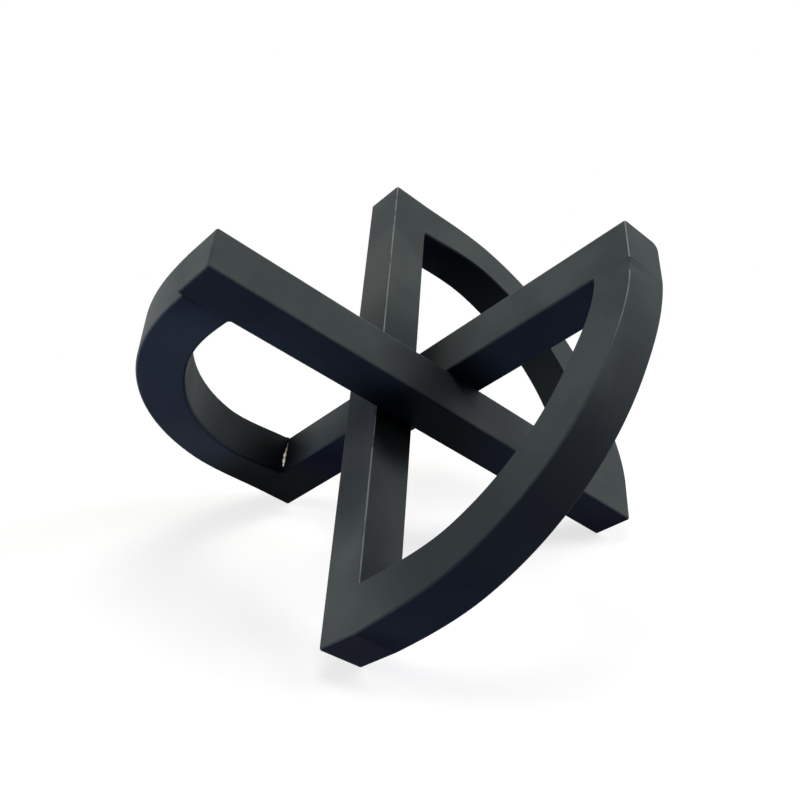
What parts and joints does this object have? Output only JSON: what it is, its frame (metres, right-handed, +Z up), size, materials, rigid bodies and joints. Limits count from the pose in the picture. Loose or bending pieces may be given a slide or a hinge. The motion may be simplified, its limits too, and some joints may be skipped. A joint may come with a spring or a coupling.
{
  "type": "knot sculpture",
  "caption": "Free-standing ornament of black square tube: straight tubes cross at the middle and curved tubes join their ends into one closed knot.",
  "frame": {"origin": "middle of the triangle of the three foot corners, on the surface that the knot stands on, below the point where the straight tubes meet", "axes": "+Z up, away from the surface; +Y towards the back, away from the front foot; +X to the right"},
  "size_m": [0.1603, 0.1664, 0.1171],
  "materials": {
    "black_tube_coat": "satin black powder coat on drawn square steel tube",
    "black_rolled_tube_coat": "satin black powder coat on steel tube rolled to a curve",
    "black_cap_coat": "satin black powder coat on ground steel plate",
    "black_weld_coat": "satin black powder coat over a ground weld",
    "bare_joint_edge": "bare edge where the coat is missing along the joint"
  },
  "bodies": {
    "root": {"straight_tube_right": "black_tube_coat", "straight_tube_front": "black_tube_coat", "straight_tube_left": "black_tube_coat", "curved_tube_back": "black_rolled_tube_coat", "curved_tube_right": "black_rolled_tube_coat", "curved_tube_left": "black_rolled_tube_coat", "end_cap_right_foot": "black_cap_coat", "end_cap_front_foot": "black_cap_coat", "end_cap_left_foot": "black_cap_coat", "end_cap_left_top": "black_cap_coat", "end_cap_back_top": "black_cap_coat", "end_cap_right_top": "black_cap_coat", "weld_right_foot": "black_weld_coat", "weld_front_foot": "black_weld_coat", "weld_left_top": "black_weld_coat", "weld_back_top": "black_weld_coat", "weld_right_top": "black_weld_coat", "weld_left_foot": "bare_joint_edge", "weld_right_over_front": "black_weld_coat", "weld_front_over_left": "black_weld_coat", "weld_right_over_left": "black_weld_coat"}
  },
  "joints": []
}
